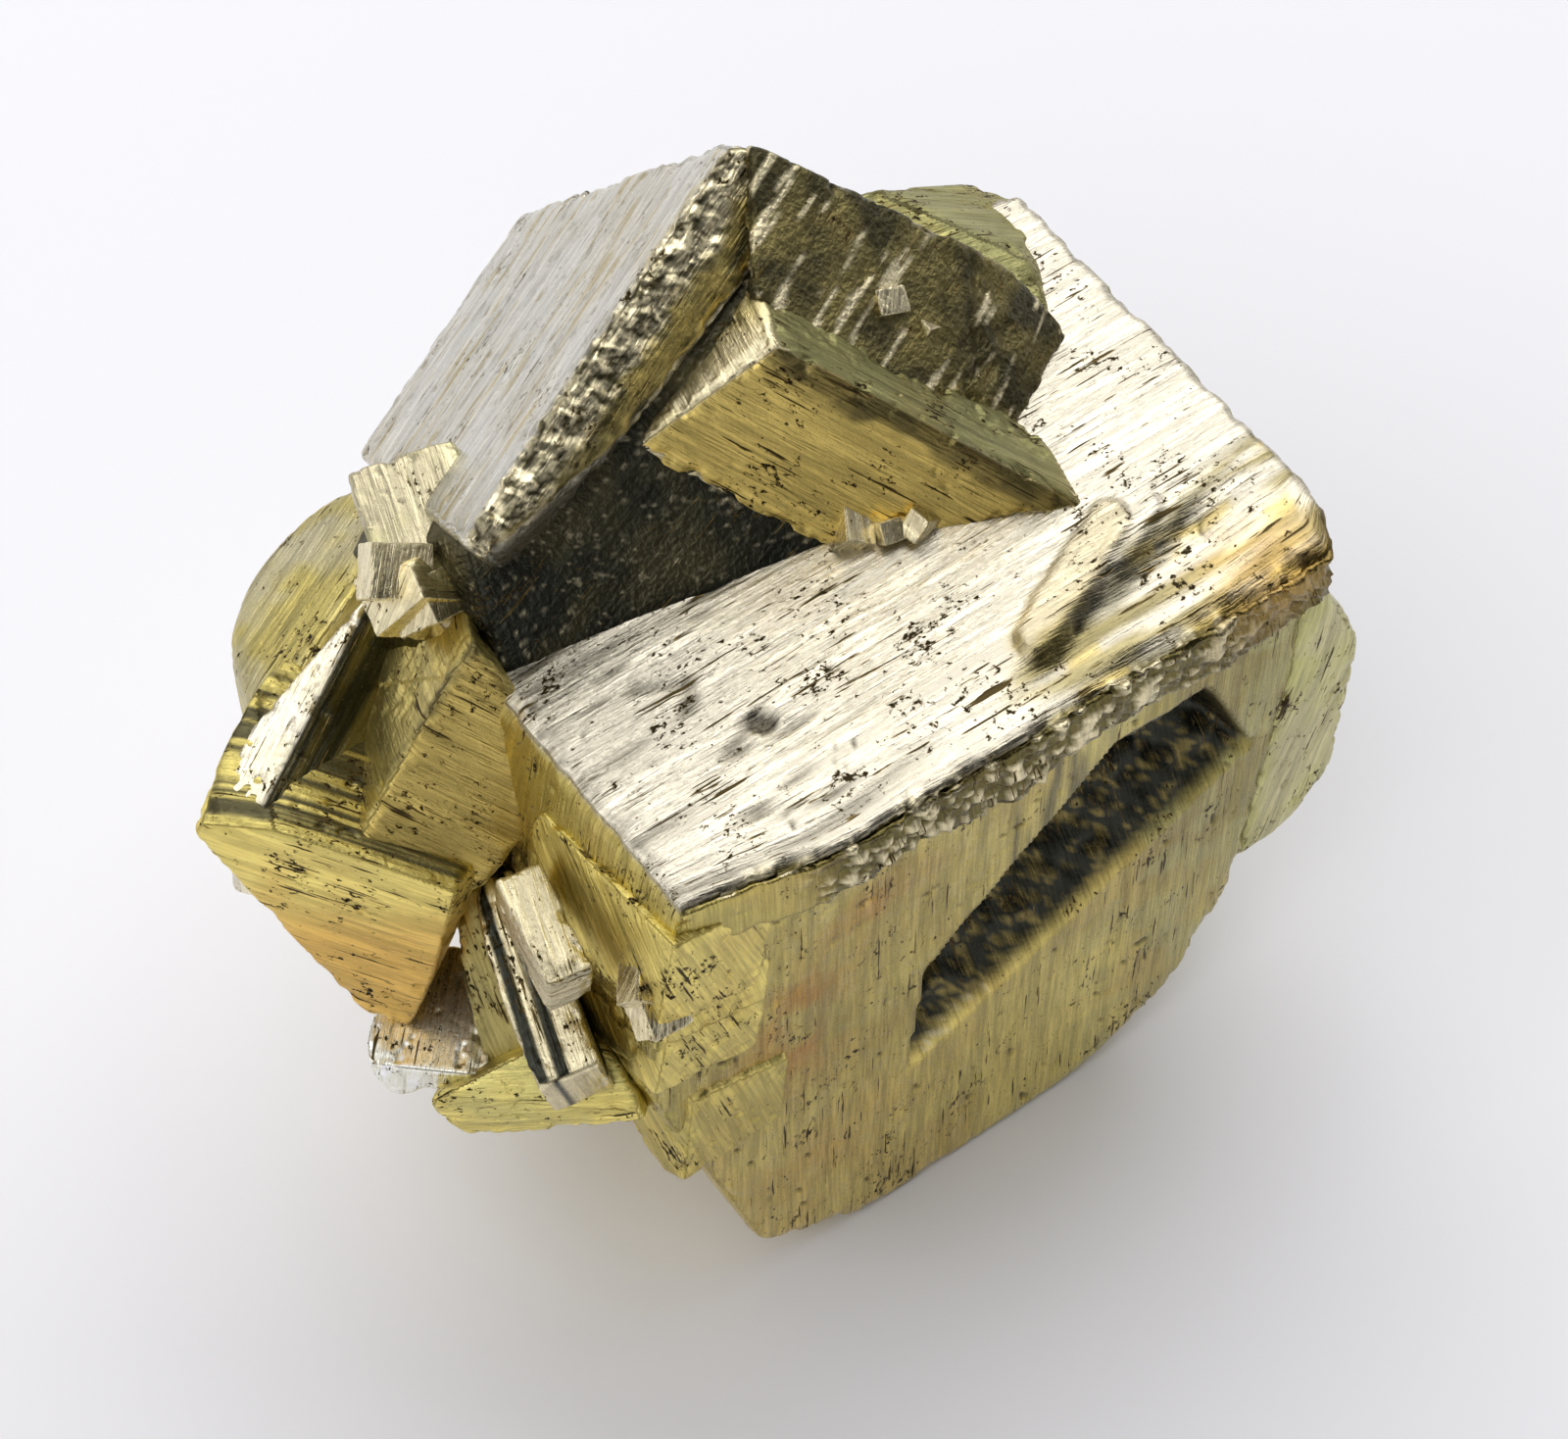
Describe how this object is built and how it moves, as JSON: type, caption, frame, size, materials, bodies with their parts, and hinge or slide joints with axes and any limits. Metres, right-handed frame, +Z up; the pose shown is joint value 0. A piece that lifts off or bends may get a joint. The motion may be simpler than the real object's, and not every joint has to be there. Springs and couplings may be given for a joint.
{
  "type": "pyrite crystal cluster",
  "caption": "Hand-sized cluster of intergrown brassy pyrite blocks and plates with striated faces, standing on the flat foot of its largest crystal.",
  "frame": {"origin": "middle of the bounding box's underside, on the surface that the cluster stands on", "axes": "+Z up from the flat foot; -Y towards the side that shows the big crystal's notched front face; +X to its right"},
  "size_m": [0.053, 0.0466, 0.0496],
  "materials": {
    "bright_pyrite": "satin",
    "olive_pyrite": "satin",
    "stained_pyrite": "satin",
    "dark_pyrite": "satin"
  },
  "bodies": {
    "root": {"main_block": "bright_pyrite", "right_lobe": "bright_pyrite", "upper_left_block": "bright_pyrite", "upper_right_block": "dark_pyrite", "core_block": "dark_pyrite", "ridge_cube": "olive_pyrite", "back_wedge": "olive_pyrite", "middle_cube": "olive_pyrite", "left_slab": "bright_pyrite", "orange_block": "stained_pyrite", "upper_left_small_block": "bright_pyrite", "far_left_plate": "olive_pyrite", "left_face_slab": "olive_pyrite", "lower_slab": "olive_pyrite", "foot_slab": "olive_pyrite", "bright_prism": "bright_pyrite", "striated_prism": "bright_pyrite", "lower_left_block": "bright_pyrite", "bottom_block": "olive_pyrite", "shoulder_block": "olive_pyrite", "contact_crystal_1": "bright_pyrite", "contact_crystal_2": "bright_pyrite", "contact_crystal_3": "bright_pyrite", "perched_crystal_1": "bright_pyrite", "perched_crystal_2": "bright_pyrite", "valley_crystal_1": "bright_pyrite", "valley_crystal_2": "bright_pyrite", "valley_crystal_3": "bright_pyrite", "corner_crystal_1": "bright_pyrite", "corner_crystal_2": "bright_pyrite"}
  },
  "joints": []
}
